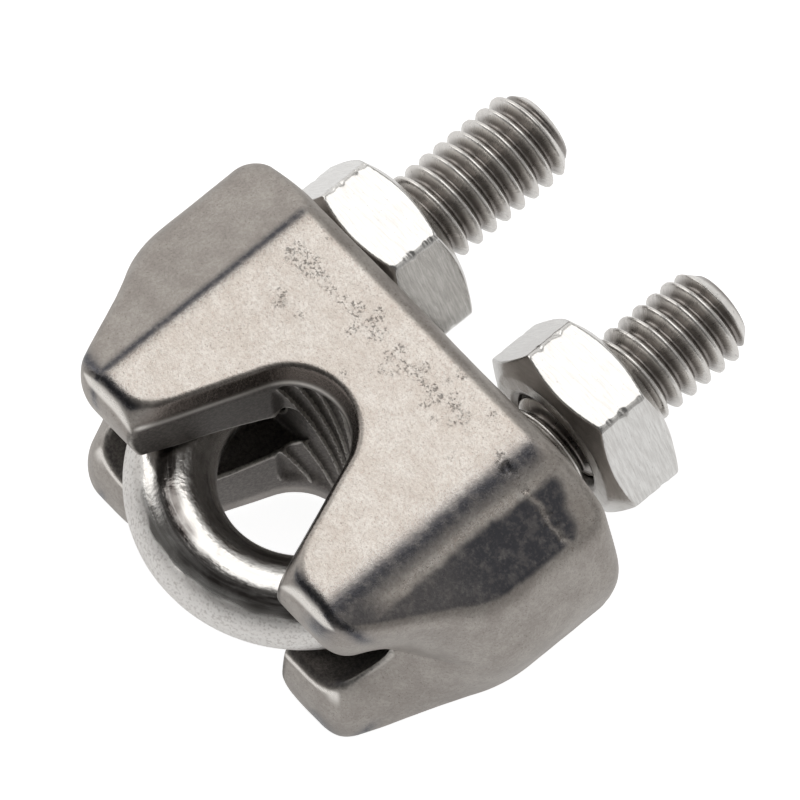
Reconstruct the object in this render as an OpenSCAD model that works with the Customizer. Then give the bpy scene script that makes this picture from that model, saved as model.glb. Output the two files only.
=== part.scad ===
// Wire rope clip (U-bolt clip) for 3 mm rope, M4 threads, lying on its back end face.
// X runs across the two legs, Y along the legs towards their threaded ends,
// and Z along the rope. The origin is the middle of the footprint at the back face.

/* [U-bolt] */
// Distance between the two leg axes
leg_spacing = 9.9; // [9.6:0.1:10.4]
// Diameter of the plain bow wire, the rolling blank of the thread
wire_d = 3.5; // [3.3:0.05:3.6]
// Length of each leg from the bow centre to the thread end
leg_len = 16.4; // [15.5:0.1:17.5]
// Diameter over the thread crests
thread_d = 3.9; // [3.84:0.01:3.98]
// Thread pitch
pitch = 0.7; // [0.6:0.05:0.8]
// Threaded length of each leg
thread_len = 13; // [11.5:0.1:13.5]
// Size of the chamfer on the thread ends
end_chamfer = 0.45; // [0.2:0.05:0.6]

/* [Nuts] */
// Width across the flats
nut_af = 7; // [6.8:0.05:7.1]
// Thickness of each nut
nut_h = 3.2; // [2.9:0.05:3.3]
// Diameter of the flat ring left by the chamfer at each end
nut_ring_d = 6.1; // [5.9:0.1:6.6]
// Plain bore standing for the nut thread
nut_bore_d = 4.02; // [4.0:0.01:4.08]
// Distance from the bow centre up to the face the nuts bear on
seat_rise = 6.5; // [6.2:0.1:7]
// How far the right nut stands off that face
right_nut_lift = 1.35; // [0.05:0.05:2.5]

/* [Saddle] */
// Width across the legs, at the parting line in the middle plane
saddle_w = 21.5; // [21:0.1:22]
// How far each side draws in from there to the front and back bevels
side_draft = 0.7; // [0.4:0.05:0.9]
// Depth along the rope
saddle_d = 10.8; // [10.2:0.1:11.2]
// Height from the prong tips to the nut face
saddle_h = 11.5; // [11.5:0.05:12.2]
// Width of the flat on the front and back faces
face_w = 12.2; // [11.6:0.1:12.6]
// Slope of the broad side bevels away from those faces
bevel_angle = 28; // [24:1:32]
// Lean of the outer sides towards the prong tips
side_taper = 25; // [22:1:27]
// Radius where the straight side turns into the taper
shoulder_r = 5; // [4:0.5:6]
// Distance from the nut face down to the middle of that shoulder
shoulder_drop = 4.5; // [4:0.1:5]
// Corner radius beside the nut face
top_corner_r = 1; // [0.7:0.1:1.4]
// Radius of the prong tips
tip_r = 1.7; // [1.4:0.1:1.9]
// Chamfer on the front and back edges of the nut face
top_chamfer = 0.6; // [0.3:0.1:0.8]
// Chamfer on the front and back edges of the prong tips
tip_chamfer = 1; // [0.6:0.1:1.2]

/* [Rope groove] */
// Radius of the groove root that seats the rope
groove_r = 2.25; // [2:0.05:2.4]
// Lean of each groove flank from the clamping direction
groove_angle = 21; // [18:1:24]
// Metal between the nut face and the groove root
web_h = 4.9; // [4.5:0.1:5.2]
// Width of the groove's edge bevel
groove_bevel_w = 0.55; // [0.3:0.05:0.7]
// Depth of the groove's edge bevel
groove_bevel_d = 0.8; // [0.4:0.1:1]

/* [Leg channels] */
// Round clearance hole under each nut
leg_hole_d = 4.4; // [4.3:0.1:4.6]
// Height of the slot that lets the bow pass between the prong plates
slot_d = 4; // [3.9:0.1:4.2]
// Reach of the slot from the middle plane on its inner side
slot_inner = 1.3; // [1.1:0.1:1.4]
// Reach of the slot from the middle plane on its outer side
slot_outer = 7.8; // [7.4:0.1:8]
// Metal between the nut face and the top of the slot
slot_roof = 5; // [4.6:0.1:5.4]

/* [Hidden] */
$fn = 64;
// Overrun of cutters past the faces they open
over = 1;
leg_x = leg_spacing / 2;
leg_z = saddle_d / 2;
clip_len = leg_len + leg_x + wire_d / 2;
bow_y = leg_x + wire_d / 2 - clip_len / 2;
leg_end_y = bow_y + leg_len;
seat_y = bow_y + seat_rise;
tip_y = seat_y - saddle_h;
// A metric thread is this deep for its pitch, with 60 degree flanks
thread_depth = 0.6134 * pitch;
flank_run = thread_depth * tan(30);
crest_flat = pitch / 8;
ridges = floor(thread_len / pitch);
ridged_len = ridges * pitch;
// Air left between a seated nut and the nut face
seat_gap = 0.02;
side_x = saddle_w / 2;
// Where the drafted side meets the broad bevel
edge_x = side_x - side_draft;
edge_z = leg_z - (edge_x - face_w / 2) * tan(bevel_angle);
shoulder = [edge_x - shoulder_r, seat_y - shoulder_drop];
// The taper line touches the shoulder and tip circles on its inner side
taper_n = [cos(side_taper), -sin(side_taper)];
taper_reach = taper_n * shoulder + shoulder_r;
tip_c = [(taper_reach - tip_r - taper_n[1] * (tip_y + tip_r)) / taper_n[0], tip_y + tip_r];
groove_c = [0, seat_y - web_h - groove_r];
groove_n = [cos(groove_angle), sin(groove_angle)];
flank_len = saddle_h;

// Points along an arc, about one for each ten degrees
function arc(centre, r, from, to) =
    let (steps = ceil(abs(to - from) / 10))
    [for (i = [0:steps]) let (a = from + (to - from) * i / steps) centre + r * [cos(a), sin(a)]];

// Place children at both leg positions
module both_sides() {
    for (m = [0, 1]) mirror([m, 0, 0]) children();
}

// ---- Saddle ----

// Front outline of the right half where it meets the bevel, from nut face to prong tip
function half_outline() = concat(
    arc([edge_x - top_corner_r, seat_y - top_corner_r], top_corner_r, 90, 0),
    arc(shoulder, shoulder_r, 0, -side_taper),
    arc(tip_c, tip_r, -side_taper, -90)
);

// The left half mirrors it, before the groove is cut
module saddle_outline() {
    right = half_outline();
    last = len(right) - 1;
    polygon(concat(right, [for (i = [last:-1:0]) [-right[i][0], right[i][1]]]));
}

// Flat faces and broad bevels, across the legs
module bevel_section() {
    half_face = face_w / 2;
    out_x = side_x + over;
    out_z = leg_z - (out_x - half_face) * tan(bevel_angle);
    polygon([
        [-half_face, leg_z],
        [half_face, leg_z],
        [out_x, out_z],
        [out_x, -out_z],
        [half_face, -leg_z],
        [-half_face, -leg_z],
        [-out_x, -out_z],
        [-out_x, out_z]
    ]);
}

// Front half of the casting blank, which narrows away from the middle plane
module drafted_half() {
    narrowing = side_draft / side_x * leg_z / edge_z;
    linear_extrude(leg_z, scale = [1 - narrowing, 1], slices = 1)
        scale([side_x / edge_x, 1]) saddle_outline();
}

// Section along the legs: chamfers at the nut face and at the prong tips
module edge_section() {
    half = [
        [tip_y, leg_z - tip_chamfer],
        [tip_y + tip_chamfer, leg_z],
        [seat_y - top_chamfer, leg_z],
        [seat_y, leg_z - top_chamfer]
    ];
    polygon(concat(half, [for (i = [3:-1:0]) [half[i][0], -half[i][1]]]));
}

module saddle_block() {
    intersection() {
        for (m = [0, 1]) mirror([0, 0, m]) drafted_half();
        translate([0, seat_y + over, 0]) rotate([90, 0, 0])
            linear_extrude(saddle_h + 2 * over) bevel_section();
        rotate([90, 0, 90]) linear_extrude(saddle_w + 2 * over, center = true) edge_section();
    }
}

// Round root and straight flanks, open towards the prong tips
module groove_outline() {
    tangent = groove_r * groove_n;
    end = tangent + (flank_len + over) * [groove_n[1], -groove_n[0]];
    circle(groove_r);
    polygon([tangent, end, [-end[0], end[1]], [-tangent[0], tangent[1]]]);
}

// Bevel round the groove on one face
module groove_bevel() {
    low = leg_z - groove_bevel_d;
    grow = groove_bevel_w * (1 + over / groove_bevel_d);
    section = [[groove_r - over, low], [groove_r, low], [groove_r + grow, leg_z + over],
        [groove_r - over, leg_z + over]];
    translate([0, 0, low])
        cylinder(h = groove_bevel_d + over, r1 = groove_r, r2 = groove_r + grow);
    both_sides() rotate([0, 0, groove_angle]) rotate([90, 0, 0])
        linear_extrude(flank_len + over) polygon(section);
}

module rope_groove() {
    translate(groove_c) {
        linear_extrude(saddle_d + 2 * over, center = true) groove_outline();
        for (m = [0, 1]) mirror([0, 0, m]) groove_bevel();
    }
}

// Round hole under the nut, and the long slot that the bow rises into
module leg_channel() {
    slot_r = slot_d / 2;
    slot_top = seat_y - slot_roof;
    translate([leg_x, seat_y + over, 0]) rotate([90, 0, 0])
        cylinder(h = slot_roof + 2 * over, d = leg_hole_d);
    translate([0, slot_top, 0]) rotate([90, 0, 0]) linear_extrude(saddle_h) {
        for (x = [slot_inner + slot_r, slot_outer - slot_r]) translate([x, 0]) circle(slot_r);
        translate([slot_inner + slot_r, -slot_r]) square([slot_outer - slot_inner - slot_d, slot_d]);
    }
}

module saddle() {
    color("#a79f94") translate([0, 0, leg_z]) difference() {
        saddle_block();
        rope_groove();
        both_sides() leg_channel();
    }
}

// ---- U-bolt ----

// One ridge of the thread as a half section, counted from the thread end
function ridge(i) = [
    [thread_d / 2 - thread_depth, i * pitch],
    [thread_d / 2, i * pitch + flank_run],
    [thread_d / 2, i * pitch + flank_run + crest_flat],
    [thread_d / 2 - thread_depth, i * pitch + 2 * flank_run + crest_flat]
];

// Thread with its end face at zero and the rest above it, chamfered at 45 degrees
module threaded_end() {
    chamfer_r = thread_d / 2 - end_chamfer;
    intersection() {
        rotate_extrude() polygon(concat(
            [[0, 0]],
            [for (i = [0:ridges - 1]) each ridge(i)],
            [[0, ridged_len]]
        ));
        cylinder(h = ridged_len, r1 = chamfer_r, r2 = chamfer_r + ridged_len);
    }
}

// The plain shank starts inside the last ridge
module leg() {
    shank_start = ridged_len - pitch / 4;
    translate([leg_x, leg_end_y, 0]) rotate([90, 0, 0]) {
        threaded_end();
        translate([0, 0, shank_start]) cylinder(h = leg_len - shank_start, d = wire_d);
    }
}

module u_bolt() {
    color("#c9c6c0") translate([0, 0, leg_z]) {
        translate([0, bow_y, 0]) rotate([0, 0, 180]) rotate_extrude(angle = 180)
            translate([leg_x, 0]) circle(d = wire_d);
        both_sides() leg();
    }
}

// ---- Nuts ----

// Hexagon with both ends chamfered at 30 degrees and a plain bore
module hex_nut() {
    corner_r = nut_af / 2 / cos(30) + over;
    drop = (corner_r - nut_ring_d / 2) * tan(30);
    difference() {
        intersection() {
            cylinder(h = nut_h, d = nut_af / cos(30), $fn = 6);
            rotate_extrude() polygon([
                [0, 0],
                [nut_ring_d / 2, 0],
                [corner_r, drop],
                [corner_r, nut_h - drop],
                [nut_ring_d / 2, nut_h],
                [0, nut_h]
            ]);
        }
        translate([0, 0, -over]) cylinder(h = nut_h + 2 * over, d = nut_bore_d);
    }
}

module place_nut(side, lift) {
    translate([side * leg_x, seat_y + lift, leg_z]) rotate([-90, 0, 0]) hex_nut();
}

module nut_left() {
    color("#dedcd6") place_nut(-1, seat_gap);
}

module nut_right() {
    color("#dedcd6") place_nut(1, right_nut_lift);
}

saddle();
u_bolt();
nut_left();
nut_right();
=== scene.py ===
# Looks of the wire rope clip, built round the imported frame. Lengths are in millimetres until
# a mesh is written out in metres. Shapes are worked out from the plane through both leg axes:
# x across the legs, y along them to the thread ends, z along the rope. Sizes and settings chosen
# here are in capitals. Sizes in small letters are read from the frame or worked out.
import math

import bpy
import numpy as np
from mathutils import Matrix, Vector


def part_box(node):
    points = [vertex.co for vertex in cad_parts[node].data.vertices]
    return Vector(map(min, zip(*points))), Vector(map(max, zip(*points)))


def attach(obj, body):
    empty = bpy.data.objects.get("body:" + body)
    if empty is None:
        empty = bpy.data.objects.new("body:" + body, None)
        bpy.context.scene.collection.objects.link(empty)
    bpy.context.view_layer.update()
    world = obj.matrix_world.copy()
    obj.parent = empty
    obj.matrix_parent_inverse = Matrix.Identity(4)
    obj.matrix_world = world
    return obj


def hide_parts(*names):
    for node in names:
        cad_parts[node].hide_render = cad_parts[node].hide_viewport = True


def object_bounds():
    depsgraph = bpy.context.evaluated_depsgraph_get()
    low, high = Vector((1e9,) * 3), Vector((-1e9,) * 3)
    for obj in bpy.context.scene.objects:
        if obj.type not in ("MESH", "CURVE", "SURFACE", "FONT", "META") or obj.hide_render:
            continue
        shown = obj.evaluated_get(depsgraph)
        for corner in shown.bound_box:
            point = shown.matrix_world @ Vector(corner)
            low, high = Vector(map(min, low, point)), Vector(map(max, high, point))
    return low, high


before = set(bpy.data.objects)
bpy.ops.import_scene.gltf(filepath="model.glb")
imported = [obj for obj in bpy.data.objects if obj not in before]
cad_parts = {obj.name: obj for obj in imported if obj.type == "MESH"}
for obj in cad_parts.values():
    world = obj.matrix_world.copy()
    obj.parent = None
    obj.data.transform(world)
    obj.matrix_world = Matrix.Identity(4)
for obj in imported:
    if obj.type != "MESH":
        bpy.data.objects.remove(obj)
cad_box = [list(corner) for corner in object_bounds()]
MM = 1000.0


def box_mm(node):
    """Lowest and highest corner of a CAD node, in millimetres"""
    return [np.array(corner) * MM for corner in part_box(node)]


saddle_lo, saddle_hi = box_mm("saddle")
bolt_lo, bolt_hi = box_mm("u_bolt")
leg_z = (saddle_lo[2] + saddle_hi[2]) / 2


# ---- Sizes ----

side_x, seat_y, tip_y = saddle_hi[0], saddle_hi[1], saddle_lo[1]
depth = saddle_hi[2] - leg_z
thread_r = (bolt_hi[2] - bolt_lo[2]) / 2
WIRE_R, PITCH = 1.75, 0.7
leg_x = bolt_hi[0] - thread_r
bow_y = bolt_lo[1] + leg_x + WIRE_R
end_y = bolt_hi[1]

# The saddle's flat face, its bevels and chamfers, and its outline down to the prong tips
HALF_FACE, BEVEL, BEVEL_SHIFT = 6.1, math.radians(28), 0.22
TAPER, SHOULDER_R, TIP_R, TOP_R = math.radians(25), 5.0, 1.7, 1.0
TOP_CHAMFER, TIP_CHAMFER = 0.6, 0.75
DRAFT, BARREL_EASE = 0.7, 1.2
edge_x = side_x - DRAFT
edge_z = depth - (edge_x - HALF_FACE) * math.tan(BEVEL)
shoulder = (edge_x - SHOULDER_R, seat_y - 4.5)
taper_reach = shoulder[0] * math.cos(TAPER) - shoulder[1] * math.sin(TAPER) + SHOULDER_R
tip_c = ((taper_reach - TIP_R + math.sin(TAPER) * (tip_y + TIP_R)) / math.cos(TAPER), tip_y + TIP_R)
# The rope groove with its lip and ribs, and the leg holes with the slots below them
GROOVE_R, GROOVE_LEAN = 2.25, math.radians(21)
groove_y = seat_y - 4.9 - GROOVE_R
LIP_W, BACK_LIP_W, LIP_D = 0.32, 0.06, 1.0
RIB_SLANT, RIB_FIRST, RIB_SPACING, POCKET_DEEP = 2.55, 1.97, 2.7, 0.33
HOLE_R, SLOT_R, SLOT_IN, SLOT_OUT = 2.2, 2.0, 1.3, 7.15
slot_y, HOLE_OVERLAP = seat_y - 5.0, 0.3


# ---- Shape tools ----

def smax(a, b, k):
    """The larger of two distances, with the crease between them eased over k"""
    ease = np.maximum(k - np.abs(a - b), 0) / k
    return np.maximum(a, b) + ease * ease * k / 4


def ramp(value, start, end):
    """Eased step from 0 at the start to 1 at the end, either way round"""
    t = np.clip((value - start) / (end - start), 0, 1)
    return t * t * (3 - 2 * t)


def line(value, at, width):
    """Weight that falls from 1 at one value towards 0 on both sides of it"""
    return np.exp(-((value - at) / width) ** 2)


def bell(p, centre, r, stretch=(1, 1, 1)):
    """Weight that falls from 1 at a point towards 0 over a radius"""
    q = (p - centre) * stretch
    return np.exp(-(q * q).sum(1) / (r * r))


class Grain:
    """Smooth random values in space, from -1 to 1, the same at every run"""

    def __init__(self, seed, cells=32):
        self.cells = cells
        self.table = np.random.default_rng(seed).uniform(-1, 1, (cells,) * 3)

    def __call__(self, p, size):
        q = p / size
        cell = np.floor(q).astype(int)
        f = q - cell
        f = f * f * (3 - 2 * f)
        total = 0.0
        for i in (0, 1):
            for j in (0, 1):
                for k in (0, 1):
                    at = (cell + (i, j, k)) % self.cells
                    weight = ((f[:, 0] if i else 1 - f[:, 0]) * (f[:, 1] if j else 1 - f[:, 1])
                              * (f[:, 2] if k else 1 - f[:, 2]))
                    total = total + weight * self.table[at[:, 0], at[:, 1], at[:, 2]]
        return total


def net(shape, lo, hi, step):
    """Quads round the zero level of a shape, with one vertex in each cell it passes through"""
    axes = [np.arange(a - 1.5 * step, b + 2.5 * step, step) for a, b in zip(lo, hi)]
    size = tuple(len(a) for a in axes)
    level = np.empty(size)
    yz = np.stack(np.meshgrid(axes[1], axes[2], indexing="ij"), -1).reshape(-1, 2)
    for i, x in enumerate(axes[0]):
        slab = np.column_stack([np.full(len(yz), x), yz])
        level[i] = shape(slab).reshape(size[1:])
    inside = level < 0
    corners = [(i, j, k) for i in (0, 1) for j in (0, 1) for k in (0, 1)]
    cells = tuple(n - 1 for n in size)
    count = sum(inside[i:i + cells[0], j:j + cells[1], k:k + cells[2]].astype(np.int8)
                for i, j, k in corners)
    where = np.argwhere((count > 0) & (count < 8))
    index = np.full(cells, -1)
    index[tuple(where.T)] = np.arange(len(where))
    total = np.zeros((len(where), 3))
    hits = np.zeros(len(where))
    for a in range(3):
        for u in (0, 1):
            for v in (0, 1):
                start = np.zeros(3, int)
                start[(a + 1) % 3], start[(a + 2) % 3] = u, v
                end = start.copy()
                end[a] = 1
                first = level[tuple((where + start).T)]
                last = level[tuple((where + end).T)]
                cut = (first < 0) != (last < 0)
                share = np.where(cut, first / np.where(cut, first - last, 1), 0)
                point = (where + start).astype(float)
                point[:, a] += share
                total[cut] += point[cut]
                hits[cut] += 1
    origin = np.array([a[0] for a in axes])
    points = origin + total / hits[:, None] * step
    faces = []
    for a in range(3):
        b, c = (a + 1) % 3, (a + 2) % 3
        upper = [slice(None)] * 3
        lower = [slice(None)] * 3
        upper[a], lower[a] = slice(1, None), slice(None, -1)
        near, far = inside[tuple(lower)], inside[tuple(upper)]
        for flip, crossing in ((False, near & ~far), (True, far & ~near)):
            at = np.argwhere(crossing)
            quad = []
            for db, dc in ((-1, -1), (0, -1), (0, 0), (-1, 0)):
                cell = at.copy()
                cell[:, b] += db
                cell[:, c] += dc
                quad.append(index[tuple(cell.T)])
            quad = np.stack(quad, 1)
            faces.append(quad[:, ::-1] if flip else quad)
    return points, np.concatenate(faces)


def slope(shape, p, reach=0.01):
    """Rise of a shape's distance along each axis"""
    return np.stack([(shape(p + step) - shape(p - step)) / (2 * reach)
                     for step in np.eye(3) * reach], 1)


def settle(shape, p, rounds, limit):
    """Moves points along the slope until they lie on the surface"""
    for _ in range(rounds):
        away = shape(p)
        g = slope(shape, p)
        move = np.clip(away / np.maximum((g * g).sum(1), 0.2), -limit, limit)
        p = p - move[:, None] * g
    return p


def facing(shape, p):
    """Unit normals of the surface"""
    normals = slope(shape, p, 0.03)
    return normals / np.linalg.norm(normals, axis=1)[:, None]


def convexity(shape, p, reach):
    """How sharply the surface bends outward: above zero on edges, below in corners"""
    around = sum(shape(p + step * sign) for step in np.eye(3) * reach for sign in (-1, 1))
    return (around - 6 * shape(p)) / reach


def piece(name, points, faces, fields, body):
    """One visible object with its point fields, riding a body and replacing its CAD node"""
    mesh = bpy.data.meshes.new(name)
    world = (points + (0, 0, leg_z)) / MM
    sides = faces.shape[1] if isinstance(faces, np.ndarray) else None
    if sides:
        mesh.vertices.add(len(world))
        mesh.vertices.foreach_set("co", world.astype(np.float32).ravel())
        mesh.loops.add(faces.size)
        mesh.loops.foreach_set("vertex_index", faces.astype(np.int32).ravel())
        mesh.polygons.add(len(faces))
        mesh.polygons.foreach_set("loop_start", np.arange(0, faces.size, sides, dtype=np.int32))
    else:
        mesh.from_pydata(world.tolist(), [], faces)
    mesh.update(calc_edges=True)
    mesh.validate()
    mesh.polygons.foreach_set("use_smooth", np.ones(len(mesh.polygons), bool))
    for key, values in fields.items():
        kind = "FLOAT_VECTOR" if values.ndim == 2 else "FLOAT"
        attribute = mesh.attributes.new(key, kind, "POINT")
        attribute.data.foreach_set("vector" if values.ndim == 2 else "value",
                                   values.astype(np.float32).ravel())
    thing = bpy.data.objects.new(name, mesh)
    bpy.context.scene.collection.objects.link(thing)
    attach(thing, body)
    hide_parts(body)
    return thing


# ---- Saddle ----

saddle_grain = Grain(11)
PIT_ROW_Y = -0.5
FACE_ROW, SKIPPED, FACE_PITS = (-5.3, 4.5, 0.34), 0.24, ((0.13, 0.2), (0.07, 0.11), (0.008, 0.022))
BEVEL_ROW, BEVEL_PITS = (6.1, 9.4, 0.2), ((0.08, 0.12), (0.08, 0.15), (0.03, 0.07))
STRAYS, STRAY_X, STRAY_Y, STRAY_PITS = 16, (-5.8, 5.8), (-2.6, 0.7), ((0.06, 0.08), (0.006, 0.014))
LONE_PIT = (-4.02, -2.32, depth, 0.15, 0.05)
SCAR_RIM, DEEP_SCAR = 0.16, 0.012


def casting_pits():
    """Pits of the near face as rows of x, y, z, radius and depth, in place of its lettering"""
    dice = np.random.default_rng(7)

    def row_pit(x, z, spread, radii, depths):
        return (x + dice.normal(0, spread[0]), PIT_ROW_Y + dice.normal(0, spread[1]), z,
                dice.uniform(*radii), dice.uniform(*depths))

    rows = []
    for x in np.arange(*FACE_ROW):
        if dice.random() < SKIPPED:
            continue
        for _ in range(int(dice.integers(1, 4))):
            rows.append(row_pit(x, depth, *FACE_PITS))
    for x in np.arange(*BEVEL_ROW):
        rows.append(row_pit(x, depth - (x - HALF_FACE) * math.tan(BEVEL), *BEVEL_PITS))
    for _ in range(STRAYS):
        rows.append((dice.uniform(*STRAY_X), dice.uniform(*STRAY_Y), depth,
                     dice.uniform(*STRAY_PITS[0]), dice.uniform(*STRAY_PITS[1])))
    rows.append(LONE_PIT)
    return np.array(rows)


pits = casting_pits()


def outline(x, y):
    """Distance to the front outline of the right half, where it meets the bevel"""
    qx, qy = x - shoulder[0], y - shoulder[1]
    tx, ty = x - tip_c[0], y - tip_c[1]
    along, across = math.sin(TAPER), math.cos(TAPER)
    tip = np.where(tx > 0, np.hypot(tx, ty) - TIP_R, tip_y - y)
    taper = np.where(tx * along + ty * across > 0, x * across - y * along - taper_reach, tip)
    low = np.where(qx * along + qy * across > 0, np.hypot(qx, qy) - SHOULDER_R, taper)
    side = np.where(qy > 0, x - edge_x, low)
    a, b = y - seat_y + TOP_R, side + TOP_R
    return np.hypot(np.maximum(a, 0), np.maximum(b, 0)) + np.minimum(np.maximum(a, b), 0) - TOP_R


def pocket_depth(px, gy, pz):
    """Scalloped pockets between the oblique ribs that bite between the rope strands"""
    turn = np.arctan2(px, gy)
    lay = np.abs(pz + RIB_SLANT * GROOVE_R * turn)
    phase = np.where(lay < RIB_FIRST, lay / RIB_FIRST, ((lay - RIB_FIRST) / RIB_SPACING) % 1)
    window = ramp(np.abs(turn), math.radians(66), math.radians(52)) * ramp(np.abs(pz), 4.3, 3.7)
    wave = np.sin(math.pi * phase)
    return POCKET_DEEP * wave * (2 - wave) * window


def groove(p):
    """Distance to the rope groove: a round root with pockets, between leaning flanks"""
    x, gy = np.abs(p[:, 0]), p[:, 1] - groove_y
    flank = x * math.cos(GROOVE_LEAN) + gy * math.sin(GROOVE_LEAN) - GROOVE_R
    root = np.hypot(x, gy) - GROOVE_R - pocket_depth(p[:, 0], gy, p[:, 2])
    return np.where(x * math.sin(GROOVE_LEAN) - gy * math.cos(GROOVE_LEAN) > 0, flank, root)


def channels(p):
    """Distance to the slots between the prong plates and the leg holes above them"""
    x, y, z = np.abs(p[:, 0]), p[:, 1], p[:, 2]
    middle, half = (SLOT_IN + SLOT_OUT) / 2, (SLOT_OUT - SLOT_IN) / 2 - SLOT_R
    slot = np.hypot(np.maximum(np.abs(x - middle) - half, 0), z) - SLOT_R
    hole = np.hypot(x - leg_x, z) - HOLE_R
    return np.minimum(smax(slot, y - slot_y, 0.1), np.maximum(hole, slot_y - HOLE_OVERLAP - y))


def barrel(z):
    """Rise of the drafted side from the middle plane, eased at the parting line"""
    return np.sqrt(z * z + BARREL_EASE) - math.sqrt(BARREL_EASE)


def front_planes(p):
    """Distances to the flat face, the broad bevel, and the chamfers at the top and the tips"""
    x, y, z = np.abs(p[:, 0]), p[:, 1], np.abs(p[:, 2]) - depth
    bevel = (x - HALF_FACE - BEVEL_SHIFT) * math.sin(BEVEL) + z * math.cos(BEVEL)
    top = (y - seat_y + TOP_CHAMFER + z) / math.sqrt(2)
    tip = (tip_y + TIP_CHAMFER - y + z) / math.sqrt(2)
    return z, bevel, top, tip


def lip_plane(p, g):
    """Distance to the narrow lip round the notch, from the distance to the groove"""
    z = np.abs(p[:, 2]) - depth
    width = np.where(p[:, 2] > 0, LIP_W, BACK_LIP_W)
    return (-g * LIP_D + (z + LIP_D) * width) / np.hypot(LIP_D, width)


def saddle_base(p):
    """Distance to the saddle before its casting grain and pits"""
    x, y, high = np.abs(p[:, 0]), p[:, 1], np.abs(p[:, 2])
    face, bevel, top, tip = front_planes(p)
    g = groove(p)
    front = smax(smax(face, bevel, 0.3), top, 0.3)
    front = smax(front, smax(tip, lip_plane(p, g), 1.0), 0.2)
    at_tip = ramp(y, tip_y + 5.5, tip_y + 1.5)
    narrowing = DRAFT / side_x * (barrel(p[:, 2]) / barrel(edge_z) * (1 - at_tip) + at_tip)
    wide = x * (edge_x / side_x) / (1 - narrowing)
    nose = at_tip * (0.16 + 0.42 * ((high - 3.9) / 1.9) ** 2)
    d = smax(front, outline(wide, y) + nose, 0.5 - 0.16 * at_tip)
    d = smax(d, -g, 0.1)
    near_tip = ramp(y, tip_y + 2.2, tip_y + 0.6)
    return smax(d, -channels(p), 0.14 + 0.25 * near_tip)


def saddle_fine(p):
    """Distance to the finished saddle"""
    d = saddle_base(p)
    cast = 0.016 * (1 + saddle_grain(p, 2.4)) + 0.006 * (1 + saddle_grain(p + 5, 0.62))
    d = d + cast + 0.0022 * (1 + saddle_grain(p + 9, 0.23))
    near = np.flatnonzero((np.abs(p[:, 1] + 1) < 2.2) & (p[:, 2] > 2.5))
    dent = np.zeros(len(p))
    for pit in pits:
        dent[near] += pit[4] * bell(p[near], pit[:3], pit[3])
    return d + dent


def bevel_painted_light(p, normals):
    """Painted highlight streak and painted dark reflection patches on the broad bevel at +X"""
    x, y = p[:, 0], p[:, 1]
    bevelled = ramp(x, HALF_FACE, HALF_FACE + 0.4) * ramp(normals[:, 2], 0.72, 0.84)
    across = x - HALF_FACE + 0.12 * saddle_grain(p, 0.8) + 0.05 * saddle_grain(p, 0.25)
    up = y - tip_y
    # The streak is a painted highlight; the patches below it are painted dark reflections
    streak = line(across - 0.02 * up, 1.05, 0.2) * ramp(up, 1.5, 4.0) * ramp(up, 11.0, 8.5)
    border = -outline(x + 0.1 * saddle_grain(p, 0.6), y)
    bevel_dark_reflection = np.maximum(ramp(across, 1.3, 1.6), ramp(up, 3.2, 1.6)) * ramp(border, 0.2, 0.45)
    upper_end = y + 0.35 * (across - 2.4) + 0.3 * saddle_grain(p, 0.5)
    bevel_dark_reflection = bevel_dark_reflection * ramp(upper_end, 0.7, 0.2) * (0.8 + 0.2 * ramp(up, 4.0, 7.0))
    craze = line(y + 0.2 * saddle_grain(p, 0.4), PIT_ROW_Y, 0.12)
    bevel_highlight = np.clip(0.35 + 0.65 * streak, 0, 1)
    return bevelled * bevel_highlight, bevelled * bevel_dark_reflection * (1 - 0.85 * craze)


def ridge_marks(p, normals, channel, wall):
    """Painted highlight lines: the crest behind the lip, the slots' edges and a bar across each tip
    """
    x, y, z = p.T
    rib = ramp(pocket_depth(x, y - groove_y, z), 0.05, 0.0)
    crest = line(z, depth - LIP_D + 0.06, 0.1) * ramp(wall, 0.2, 0.12) * rib
    side = outline(np.abs(x), y)
    slot_edge = line(channel + side, 0, 0.11) * ramp(np.abs(channel), 0.3, 0.15)
    down = -normals[:, 1]
    bar = ramp(down, 0.76, 0.85) * ramp(down, 0.96, 0.9) * ramp(normals[:, 2], 0.3, 0.42)
    bar = bar * ramp(y, tip_y + 1.1, tip_y + 0.7)
    return np.maximum(np.maximum(crest, slot_edge), bar)


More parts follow.
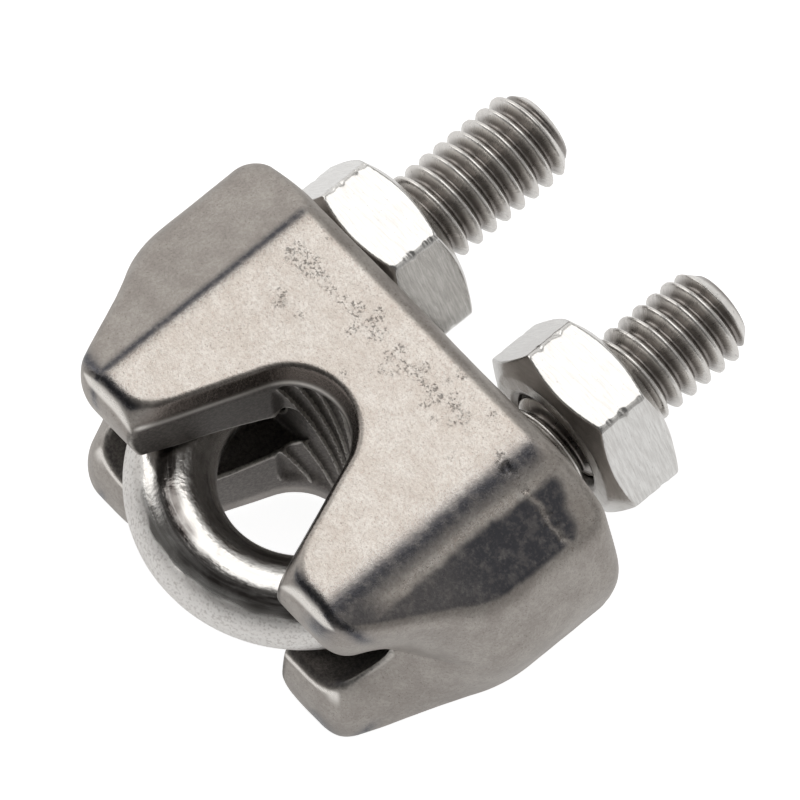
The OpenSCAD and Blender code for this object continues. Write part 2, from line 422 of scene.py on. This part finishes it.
def saddle_fields(p):
    """Point fields that the cast material reads"""
    normals = facing(saddle_base, p)
    x, high = p[:, 0], np.abs(p[:, 2])
    channel, wall = channels(p), groove(p)
    face, bevel, top, tip = front_planes(p)
    lip = lip_plane(p, wall)
    scar = np.zeros(len(p))
    for pit in pits:
        scar = np.maximum(scar, bell(p, pit[:3], pit[3] + SCAR_RIM) * min(1, pit[4] / DEEP_SCAR))
    # Bands along the face's creases and tip chamfers, which the material darkens as painted dark
    # reflections
    shift, width = np.where(x > 0, 0.10, 0.0), np.where(x > 0, 0.26, 0.09)
    crease_shade = np.maximum(line(bevel - face, shift, width), line(tip - face, 0.05, 0.2))
    crease_shade = crease_shade * ramp(top - face, 0.1, -0.3) * ramp(lip - face, 0.1, -0.2) * ramp(high, 3.2, 4.2)
    bevel_highlight, bevel_dark_reflection = bevel_painted_light(p, normals)
    return {
        # Flat faces get the bright worn metal; the darker skin on the other faces is partly painted
        # shade
        "face": ramp(np.abs(normals[:, 2]), 0.955, 0.995),
        "edge": np.clip(convexity(saddle_base, p, 0.2), 0, 2),
        # The slots, the leg holes and the groove's root, which the material darkens as painted shade
        "channel_shade": ramp(np.abs(channel), 0.25, 0.1),
        "root": ramp(np.abs(wall), 0.3, 0.1) * ramp(high, depth - 0.5, depth - 1.0),
        "scar": scar,
        "crease_shade": crease_shade,
        # The lip round the notch, which the material darkens as a painted dark reflection
        "rim": ramp(np.abs(lip), 0.22, 0.02) * ramp(np.abs(wall), 0.02, 0.12),
        "bevel_highlight": bevel_highlight,
        "bevel_dark_reflection": bevel_dark_reflection,
        "ridge": ridge_marks(p, normals, channel, wall)}


points, faces = net(saddle_base, (-side_x, tip_y, -depth), (side_x, seat_y, depth), 0.078)
points = settle(saddle_fine, points, 3, 0.06)
casting = piece("saddle_casting", points, faces, saddle_fields(points), "saddle")


# ---- U-bolt ----

cut_y = end_y - 0.2
thread_end, plain_y = end_y - 12.9, end_y - 13.1
THREAD_START = {1: 0.47, -1: 0.12}
AROUND, THREAD_STEP, SHANK_STEP, BOW_ROWS = 120, 0.04, 0.16, 110
CAP_SHARES, CAP_DOME = (0.94, 0.8, 0.6, 0.4, 0.2), 0.04
FLOW_STRETCH = 0.09
phi = np.arange(AROUND) * 2 * math.pi / AROUND
bolt_grain = Grain(23)


def thread_radius(y, turn, start):
    """Radius of the right-hand thread at a height and an angle about the leg, and its lowness"""
    t = ((y - start) / PITCH - turn / (2 * math.pi) + 0.5) % 1 - 0.5
    rise = np.clip((0.5 - np.abs(t) - 0.07) / 0.36, 0, 1)
    rise = 0.55 * rise + 0.45 * rise * rise * (3 - 2 * rise)
    cut = 0.6134 * PITCH
    radius = thread_r - cut + cut * rise
    radius = WIRE_R + (radius - WIRE_R) * ramp(y, thread_end, thread_end + 0.7)
    nose = thread_r - 0.6 + (cut_y - y) * 0.9
    return -smax(-radius, -nose, 0.06), 1 - rise


def leg_ring(side, y):
    """One ring of a leg: centre, way out, radii, and the fields low, threaded, band and the painted
    dark reflection, which is zero here
    """
    turn = (math.pi / 2 - phi) if side > 0 else (phi - math.pi / 2)
    radius, low = thread_radius(y, turn, THREAD_START[side])
    threaded = float(ramp(y, thread_end, thread_end + 0.5))
    centre, clean = np.array([side * leg_x, y, 0.0]), np.zeros(AROUND)
    return centre, np.array([float(side), 0, 0]), radius, low * threaded, threaded, clean, clean


def bow_ring(b):
    """One ring of the bow, at an angle from the +X leg, with its bright flat band and a painted dark
    reflection beside it
    """
    out = np.array([math.cos(b), -math.sin(b), 0])
    inplane, to_leg = np.minimum(phi, 2 * math.pi - phi), min(b, math.pi - b)
    left_turn = min(max((b - 0.8) / 1.6, 0.0), 1.0)
    wander = 0.05 * np.sin(3 * phi + 5 * b) + 0.04 * math.sin(23 * b)
    band_end = 0.84 + 0.14 * left_turn + wander
    band = ramp(inplane, band_end, band_end - 0.14) * ramp(to_leg, -0.1, 0.2)
    dark_at = 1.03 + 0.54 * left_turn + wander
    bow_dark_reflection = np.exp(-((inplane - dark_at) / 0.24) ** 4) * ramp(to_leg, -0.3, 0.3)
    centre = np.array([0, bow_y, 0]) + leg_x * out
    return centre, out, WIRE_R - 0.015 * band, np.zeros(AROUND), 0.0, band, bow_dark_reflection


def sweep(rings):
    """Points of all the rings, the rings' middles and the five point fields"""
    points, spine, fields = [], [], []
    length, last = 0.0, rings[0][0]
    for centre, out, radius, low, threaded, band, bow_dark_reflection in rings:
        length += float(np.linalg.norm(centre - last))
        last = centre
        way = np.cos(phi)[:, None] * out + np.sin(phi)[:, None] * (0, 0, 1)
        ring = centre + radius[:, None] * way
        points.append(ring)
        spine.append(ring.mean(0))
        flow = np.stack([WIRE_R * np.cos(phi), np.full(AROUND, length * FLOW_STRETCH),
                         WIRE_R * np.sin(phi)], 1)
        fields.append((low, np.full(AROUND, threaded), band, bow_dark_reflection, flow))
    fields = [np.concatenate([ring[i] for ring in fields]) for i in range(5)]
    return np.concatenate(points), np.repeat(np.array(spine), AROUND, 0), fields


def end_caps(points, grid):
    """Points and faces that close both sawn ends with a faint dome"""
    added, faces = [], []
    total = len(points)

    def close(corners, flip):
        faces.extend(tuple(f) for f in (corners[:, ::-1] if flip else corners).tolist())

    for flip, ring in ((True, grid[0]), (False, grid[-1])):
        edge = points[ring]
        centre = edge.mean(0)
        centre[1] = cut_y
        for share in CAP_SHARES:
            inner = centre + (edge - centre) * share
            inner[:, 1] = cut_y - CAP_DOME * share ** 4
            now = np.arange(total, total + AROUND)
            close(np.stack([ring, np.roll(ring, -1), np.roll(now, -1), now], 1), flip)
            added.append(inner)
            total += AROUND
            ring = now
        close(np.stack([ring, np.roll(ring, -1), np.full(AROUND, total)], 1), flip)
        added.append(centre[None])
        total += 1
    return np.concatenate(added), faces


leg_rows = np.concatenate([np.arange(cut_y - THREAD_STEP, plain_y, -THREAD_STEP),
                           np.arange(plain_y, bow_y + 0.05, -SHANK_STEP)])
rings = ([leg_ring(1, y) for y in leg_rows]
         + [bow_ring(b) for b in np.linspace(0, math.pi, BOW_ROWS)]
         + [leg_ring(-1, y) for y in leg_rows[::-1]])
points, spine, (low, threaded, band, bow_dark_reflection, flow) = sweep(rings)
waves = bolt_grain(points, 1.3) * (1 - threaded)
points = points - (points - spine) * (0.004 * (1 + waves))[:, None]
grid = np.arange(len(points)).reshape(-1, AROUND)
beside = np.roll(grid, -1, 1)
skin = np.stack([grid[:-1], beside[:-1], beside[1:], grid[1:]], -1).reshape(-1, 4)
added, cap_faces = end_caps(points, grid)


def pad(values, fill):
    """A point field with one value for all the points of the end caps"""
    return np.concatenate([values, np.full(len(added), fill)])


wire = piece(
    "u_bolt_wire", np.concatenate([points, added]), [tuple(f) for f in skin.tolist()] + cap_faces,
    {"low": pad(low, 0.6), "threaded": pad(threaded, 1.0), "band": pad(band, 0.0),
     "bow_dark_reflection": pad(bow_dark_reflection, 0.0), "flow": np.concatenate([flow, added])},
    "u_bolt")


# ---- Nuts ----

RING_R, BORE_R, NUT_THREAD, BORE_SINK = 3.05, 2.01, 0.16, 0.26
NICKS, NICK_SPREAD, NICK_Y, NICK_R, NICK_DEEP = 7, 0.05, 1.1, (0.07, 0.14), (0.02, 0.07)
SIXTH = math.pi / 3


def make_nut(node, seed, name):
    lo, hi = box_mm(node)
    centre = (lo + hi) / 2 - (0, 0, leg_z)
    half_h, flat = (hi[1] - lo[1]) / 2, (hi[2] - lo[2]) / 2
    corner_r = flat / math.cos(math.pi / 6)
    grain = Grain(seed)
    chance = np.random.default_rng(seed)
    nicks = []
    for corner in range(6):
        for _ in range(NICKS):
            r, a = corner_r - 0.1, corner * SIXTH
            nicks.append((r * math.cos(a) + chance.normal(0, NICK_SPREAD),
                          chance.uniform(-NICK_Y, NICK_Y),
                          r * math.sin(a) + chance.normal(0, NICK_SPREAD),
                          chance.uniform(*NICK_R), chance.uniform(*NICK_DEEP)))

    def base(p):
        """Distance to the nut before its grain and nicks, with a right-hand thread in the bore"""
        q = p - centre
        x, y, z = q[:, 0], np.abs(q[:, 1]), q[:, 2]
        r = np.hypot(x, z)
        lean = x * math.sqrt(0.75)
        hexagon = smax(smax(np.abs(z), np.abs(z / 2 + lean), 0.16), np.abs(z / 2 - lean), 0.16) - flat
        cone = (r - RING_R) / 2 + (y - half_h) * math.cos(math.pi / 6)
        d = smax(smax(hexagon, cone, 0.05), y - half_h, 0.05)
        thread = ((q[:, 1] / PITCH - np.arctan2(x, z) / (2 * math.pi)) % 1 - 0.5) * 2
        bore = r - BORE_R - NUT_THREAD * (1 - np.abs(thread))
        sink = (BORE_R + BORE_SINK - r + y - half_h) / math.sqrt(2)
        return smax(smax(d, -bore, 0.04), sink, 0.04)

    def fine(p):
        """Distance to the finished nut"""
        q = p - centre
        d = base(p) + 0.006 * (1 + grain(q, 1.5)) + 0.002 * (1 + grain(q + 7, 0.3))
        for nick in nicks:
            d = d + nick[4] * bell(q, nick[:3], nick[3], (1, 1.6, 1))
        return d

    reach = np.array([corner_r, half_h, flat])
    points, faces = net(base, centre - reach, centre + reach, 0.062)
    points = settle(fine, points, 3, 0.05)
    q = points - centre
    normals = facing(base, points)
    around = np.arctan2(q[:, 2], q[:, 0]) - math.pi / 6
    sixth = np.round(around / SIXTH)
    radius = np.hypot(q[:, 0], q[:, 2])
    flow = np.stack([radius * np.sin(around - sixth * SIXTH) + sixth * 11.3, q[:, 1],
                     np.zeros(len(q))], 1)
    return piece(
        name, points, faces,
        {"ends": ramp(np.abs(normals[:, 1]), 0.4, 0.8),
         "bore": ramp(radius, 2.45, 2.25),
         "flow": flow},
        node)


left_nut = make_nut("nut_left", 31, "nut_left_hex")
right_nut = make_nut("nut_right", 37, "nut_right_hex")


# ---- Materials ----

def plug(tree, socket, value):
    """Links another node's output to a socket, or sets the socket's own value"""
    if isinstance(value, bpy.types.NodeSocket):
        tree.links.new(value, socket)
    else:
        socket.default_value = value


def adder(tree):
    """A function that adds one node to a tree, with its inputs plugged and its settings made"""
    def add(kind, inputs=None, **settings):
        node = tree.nodes.new(kind)
        for key, value in settings.items():
            setattr(node, key, value)
        for key, value in (inputs or {}).items():
            plug(tree, node.inputs[key], value)
        return node

    return add


class Shader:
    """Short helpers that add nodes to one material"""

    def __init__(self, name):
        self.material = bpy.data.materials.new(name)
        self.material.use_nodes = True
        self.tree = self.material.node_tree
        self.surface = self.tree.nodes["Principled BSDF"]
        self.add = adder(self.tree)
        self.place = self.add("ShaderNodeTexCoord").outputs["Object"]

    def fields(self, *names):
        return [self.add("ShaderNodeAttribute", attribute_name=name).outputs["Fac"] for name in names]

    def vector(self, name):
        return self.add("ShaderNodeAttribute", attribute_name=name).outputs["Vector"]

    def noise(self, size, detail, rough, vector=None):
        """Noise whose grains are about size millimetres across, in object space or a field's"""
        place, unit = (self.place, MM) if vector is None else (vector, 1.0)
        return self.add("ShaderNodeTexNoise", {
            "Vector": place, "Scale": unit / size, "Detail": detail,
            "Roughness": rough}).outputs["Fac"]

    def span(self, value, start, end, low=0.0, high=1.0):
        return self.add("ShaderNodeMapRange", {
            "Value": value, "From Min": start, "From Max": end, "To Min": low, "To Max": high},
            interpolation_type="SMOOTHSTEP").outputs["Result"]

    def calc(self, operation, a, b):
        return self.add("ShaderNodeMath", {0: a, 1: b}, operation=operation).outputs[0]

    def times(self, a, b):
        return self.calc("MULTIPLY", a, b)

    def plus(self, a, b):
        return self.calc("ADD", a, b)

    def minus(self, a, b):
        return self.calc("SUBTRACT", a, b)

    def most(self, a, b):
        return self.calc("MAXIMUM", a, b)

    def blend(self, share, a, b):
        return self.add("ShaderNodeMix", {0: share, 6: a, 7: b}, data_type="RGBA").outputs[2]

    def tint(self, color, share, amount, paint):
        """Lays a paint over the colour where its share is high"""
        return self.blend(self.times(share, amount), color, paint)

    def finish(self, color, roughness, heights, *things):
        """Plugs in colour and roughness, and stacks the bumps, each (height, distance in mm)"""
        inputs = self.surface.inputs
        plug(self.tree, inputs["Base Color"], color)
        plug(self.tree, inputs["Roughness"], roughness)
        inputs["Metallic"].default_value = 1.0
        normal = None
        for height, distance in heights:
            bump = self.add("ShaderNodeBump", {"Height": height, "Strength": 1.0,
                                               "Distance": distance / MM})
            if normal is not None:
                plug(self.tree, bump.inputs["Normal"], normal)
            normal = bump.outputs["Normal"]
        plug(self.tree, inputs["Normal"], normal)
        for thing in things:
            thing.data.materials.append(self.material)


def cast_finish():
    s = Shader("tumbled_casting")
    face, edge, scar, channel_shade, root = s.fields("face", "edge", "scar", "channel_shade", "root")
    crease_shade, rim, bevel_highlight, bevel_dark_reflection, ridge = s.fields("crease_shade", "rim", "bevel_highlight", "bevel_dark_reflection", "ridge")
    cloud, grain, speck = s.noise(1.3, 4, 0.65), s.noise(0.13, 4, 0.7), s.noise(0.055, 2, 0.6)
    # Tumbled skin, and the brighter metal of the worn faces. The darker skin on the sides and bevels
    # is partly real skin and partly painted shade
    patchy = s.span(cloud, 0.35, 0.65)
    skin = s.blend(patchy, (0.365, 0.335, 0.31, 1), (0.45, 0.42, 0.39, 1))
    skin = s.blend(s.span(grain, 0.4, 0.62), s.blend(0.35, skin, (0.20, 0.18, 0.165, 1)), skin)
    bright = s.blend(patchy, (0.60, 0.555, 0.51, 1), (0.67, 0.635, 0.595, 1))
    grey = s.blend(0.55, bright, (0.36, 0.31, 0.275, 1))
    bright = s.blend(s.span(grain, 0.36, 0.6), grey, bright)
    patch = s.span(s.noise(0.45, 3, 0.7), 0.45, 0.6, 0.0, 0.22)
    bright = s.blend(patch, bright, (0.40, 0.34, 0.30, 1))
    # The +X bevel takes the bright colour here as a painted highlight
    color = s.blend(s.most(face, bevel_highlight), skin, bright)
    # Dark specks; painted shade in the slots and the groove's root; painted dark reflections along
    # the creases, on the +X bevel and on the rim of the notch
    color = s.tint(color, s.span(speck, 0.62, 0.69), 0.65, (0.13, 0.11, 0.10, 1))
    color = s.tint(color, s.span(s.noise(0.22, 3, 0.8), 0.64, 0.70), 0.5, (0.16, 0.125, 0.11, 1))
    dark = s.blend(s.span(grain, 0.35, 0.7), (0.075, 0.07, 0.068, 1), (0.20, 0.185, 0.175, 1))
    # Painted shade in the slots, the holes and the groove's root
    color = s.tint(color, channel_shade, 0.85, dark)
    color = s.tint(color, root, 0.75, dark)
    shade = s.times(s.most(crease_shade, bevel_dark_reflection), s.span(grain, 0.5, 0.75, 1.0, 0.8))
    shade = s.times(shade, s.span(s.noise(0.5, 3, 0.7), 0.45, 0.65, 1.0, 0.8))
    color = s.tint(color, shade, 0.95, (0.062, 0.064, 0.076, 1))
    # The notch's lip darkened as a painted dark reflection
    color = s.tint(color, rim, 0.8, (0.105, 0.085, 0.075, 1))
    # Bright worn edges, painted highlights on the ridges, and scratches round the pits
    worn = s.times(s.span(edge, 0.45, 1.2), s.span(grain, 0.3, 0.6, 0.5, 1.0))
    worn = s.times(worn, s.minus(1.0, s.times(crease_shade, 0.8)))
    color = s.tint(color, worn, 0.65, (0.74, 0.71, 0.67, 1))
    color = s.tint(color, ridge, 0.85, (0.82, 0.79, 0.75, 1))
    marks = s.times(s.span(scar, 0.25, 0.7), s.span(s.noise(0.12, 3, 0.75), 0.56, 0.60))
    color = s.tint(color, marks, 0.6, (0.15, 0.135, 0.125, 1))
    rough = s.minus(s.span(grain, 0.3, 0.7, 0.40, 0.50), s.times(face, 0.14))
    sheen = s.most(s.most(bevel_highlight, crease_shade), s.most(rim, ridge))
    rough = s.minus(rough, s.times(sheen, 0.20))
    rough = s.plus(rough, s.times(s.most(channel_shade, root), 0.12))
    bumps = [(grain, 0.016), (speck, 0.007), (marks, -0.02)]
    s.finish(color, s.most(rough, 0.18), bumps, casting)


def wire_finish():
    s = Shader("polished_wire")
    low, threaded, band, bow_dark_reflection = s.fields("low", "threaded", "band", "bow_dark_reflection")
    streak = s.noise(0.22, 4, 0.6, s.vector("flow"))
    fleck, patch = s.noise(0.12, 2, 0.5), s.noise(0.9, 3, 0.6)
    # Smooth wire, with the flattened band and, beside it on the bow, a painted dark reflection
    bare = s.blend(s.span(streak, 0.35, 0.65), (0.62, 0.60, 0.575, 1), (0.80, 0.79, 0.77, 1))
    bare = s.tint(bare, s.span(patch, 0.55, 0.7), 0.35, (0.33, 0.31, 0.30, 1))
    bare = s.tint(bare, band, 0.5, (0.80, 0.78, 0.76, 1))
    dull = s.times(band, s.span(fleck, 0.48, 0.68, 0.0, 0.55))
    bare = s.blend(dull, bare, (0.42, 0.39, 0.37, 1))
    # A painted dark reflection along the bow
    painted_dark = s.times(bow_dark_reflection, s.span(streak, 0.42, 0.66, 1.0, 0.65))
    painted_dark = s.times(painted_dark, s.span(patch, 0.45, 0.65, 1.0, 0.75))
    bare = s.tint(bare, painted_dark, 0.95, (0.085, 0.072, 0.068, 1))
    # Rolled thread, with painted shade in its roots
    rolled = s.blend(s.span(low, 0.15, 1.0), (0.70, 0.68, 0.655, 1), (0.27, 0.25, 0.235, 1))
    rolled = s.tint(rolled, s.span(fleck, 0.62, 0.72), 0.4, (0.16, 0.14, 0.13, 1))
    rough = s.plus(s.span(streak, 0.3, 0.7, 0.12, 0.26), s.times(band, 0.3))
    rough = s.plus(rough, s.times(threaded, 0.10))
    bumps = [(streak, 0.006), (patch, 0.03), (fleck, 0.004)]
    s.finish(s.blend(threaded, bare, rolled), rough, bumps, wire)


def nut_finish():
    s = Shader("scratched_nut")
    ends, bore = s.fields("ends", "bore")
    stretched = s.add("ShaderNodeMapping", {"Vector": s.vector("flow"), "Rotation": (0, 0, 0.5),
                                            "Scale": (0.35, 3.2, 1)}).outputs["Vector"]
    scratch = s.noise(0.35, 5, 0.7, stretched)
    fleck, cloud = s.noise(0.1, 2, 0.6), s.noise(1.0, 2, 0.5)
    color = s.blend(s.span(scratch, 0.35, 0.65), (0.58, 0.57, 0.555, 1), (0.76, 0.755, 0.74, 1))
    color = s.tint(color, s.span(cloud, 0.45, 0.7), 0.2, (0.55, 0.53, 0.51, 1))
    color = s.tint(color, s.span(fleck, 0.66, 0.73), 0.5, (0.30, 0.28, 0.27, 1))
    color = s.tint(color, ends, 0.35, (0.42, 0.39, 0.36, 1))
    # The bore and its sink are darkened as painted shade
    color = s.tint(color, bore, 0.7, (0.22, 0.20, 0.185, 1))
    rough = s.plus(s.span(scratch, 0.3, 0.7, 0.17, 0.27), s.times(bore, 0.15))
    s.finish(color, rough, [(scratch, 0.004), (fleck, 0.0025)], left_nut, right_nut)


cast_finish()
wire_finish()
nut_finish()


# ---- Studio ----

SKY, SKY_COLOR = 0.13, (1.0, 0.985, 0.965, 1)
# Soft round panels: way to the middle, outer and inner angle in degrees, strength
PANELS = (((-0.22, 0.33, 0.92), 27, 19, 1.6),
          ((-0.93, 0.15, 0.12), 46, 26, 0.8),
          ((0.50, 0.27, 0.82), 19, 11, 0.6),
          ((0.95, 0.25, 0.1), 42, 20, 0.35),
          ((-0.2, 0.97, 0.1), 60, 25, 0.3),
          ((-0.30, -0.93, -0.12), 18, 8, 1.5),
          ((-0.83, -0.20, 0.52), 22, 12, 1.2))
FLOOR_R, FLOOR_SIDES, FLOOR_DROP = 1.5, 64, 2e-5
FLOOR_GREY, FLOOR_GLOW, FLOOR_SEEN_GLOW = 0.55, 0.62, 0.3
CAMERA_TURN, CAMERA_RISE, CAMERA_ROLL = 49.93, 65.18, -1.588
CAMERA_LENS, CAMERA_AWAY, CAMERA_AIM = 582.2, 477.04, (-0.074, -0.071, 0)


def studio_light():
    world = bpy.data.worlds.new("studio")
    bpy.context.scene.world = world
    world.use_nodes = True
    world.node_tree.nodes.clear()
    add = adder(world.node_tree)
    way = add("ShaderNodeTexCoord").outputs["Generated"]
    light = SKY
    for aim, outer, inner, amount in PANELS:
        dot = add("ShaderNodeVectorMath", {0: way, 1: Vector(aim).normalized()},
                  operation="DOT_PRODUCT").outputs["Value"]
        panel = add("ShaderNodeMapRange", {
            "Value": dot, "From Min": math.cos(math.radians(outer)),
            "From Max": math.cos(math.radians(inner)), "To Max": amount},
            interpolation_type="SMOOTHSTEP").outputs["Result"]
        light = add("ShaderNodeMath", {0: light, 1: panel}, operation="ADD").outputs[0]
    direct = add("ShaderNodeBackground", {"Color": SKY_COLOR, "Strength": light})
    plain = add("ShaderNodeBackground", {"Color": (1, 1, 1, 1)})
    seen = add("ShaderNodeLightPath").outputs["Is Camera Ray"]
    mixed = add("ShaderNodeMixShader", {0: seen, 1: direct.outputs[0], 2: plain.outputs[0]})
    add("ShaderNodeOutputWorld", {"Surface": mixed.outputs[0]})


def studio_floor():
    mesh = bpy.data.meshes.new("floor")
    corners = [2 * math.pi * i / FLOOR_SIDES for i in range(FLOOR_SIDES)]
    rim = [(FLOOR_R * math.cos(a), FLOOR_R * math.sin(a), -FLOOR_DROP) for a in corners]
    mesh.from_pydata(rim, [], [tuple(range(FLOOR_SIDES))])
    floor = bpy.data.objects.new("floor", mesh)
    bpy.context.scene.collection.objects.link(floor)
    paint = bpy.data.materials.new("pale_floor")
    paint.use_nodes = True
    paint.node_tree.nodes.clear()
    add = adder(paint.node_tree)
    matte = add("ShaderNodeBsdfDiffuse", {"Color": (FLOOR_GREY, FLOOR_GREY, FLOOR_GREY, 1)})
    seen = add("ShaderNodeLightPath").outputs["Is Camera Ray"]
    lift = add("ShaderNodeMath", {0: seen, 1: FLOOR_SEEN_GLOW, 2: FLOOR_GLOW},
               operation="MULTIPLY_ADD").outputs[0]
    glow = add("ShaderNodeEmission", {"Strength": lift})
    both = add("ShaderNodeAddShader", {0: matte.outputs[0], 1: glow.outputs[0]})
    add("ShaderNodeOutputMaterial", {"Surface": both.outputs[0]})
    floor.data.materials.append(paint)


def studio_camera():
    turn, rise, roll = (math.radians(a) for a in (CAMERA_TURN, CAMERA_RISE, CAMERA_ROLL))
    back = Vector((math.sin(turn) * math.cos(rise), -math.cos(turn) * math.cos(rise),
                   math.sin(rise)))
    level = Vector((math.cos(turn), math.sin(turn), 0))
    upright = back.cross(level)
    right = level * math.cos(roll) + upright * math.sin(roll)
    up = upright * math.cos(roll) - level * math.sin(roll)
    low, high = (Vector(c) for c in cad_box)
    target = (low + high) / 2 + Vector(CAMERA_AIM) / MM
    data = bpy.data.cameras.new("camera")
    data.sensor_width = 36
    data.lens = CAMERA_LENS
    data.clip_start, data.clip_end = 0.01, 10
    camera = bpy.data.objects.new("camera", data)
    bpy.context.scene.collection.objects.link(camera)
    turned = Matrix((right, up, back)).transposed().to_4x4()
    camera.matrix_world = Matrix.Translation(target + back * CAMERA_AWAY / MM) @ turned
    bpy.context.scene.camera = camera


studio_light()
studio_floor()
studio_camera()
bpy.context.scene.view_settings.view_transform = "Standard"
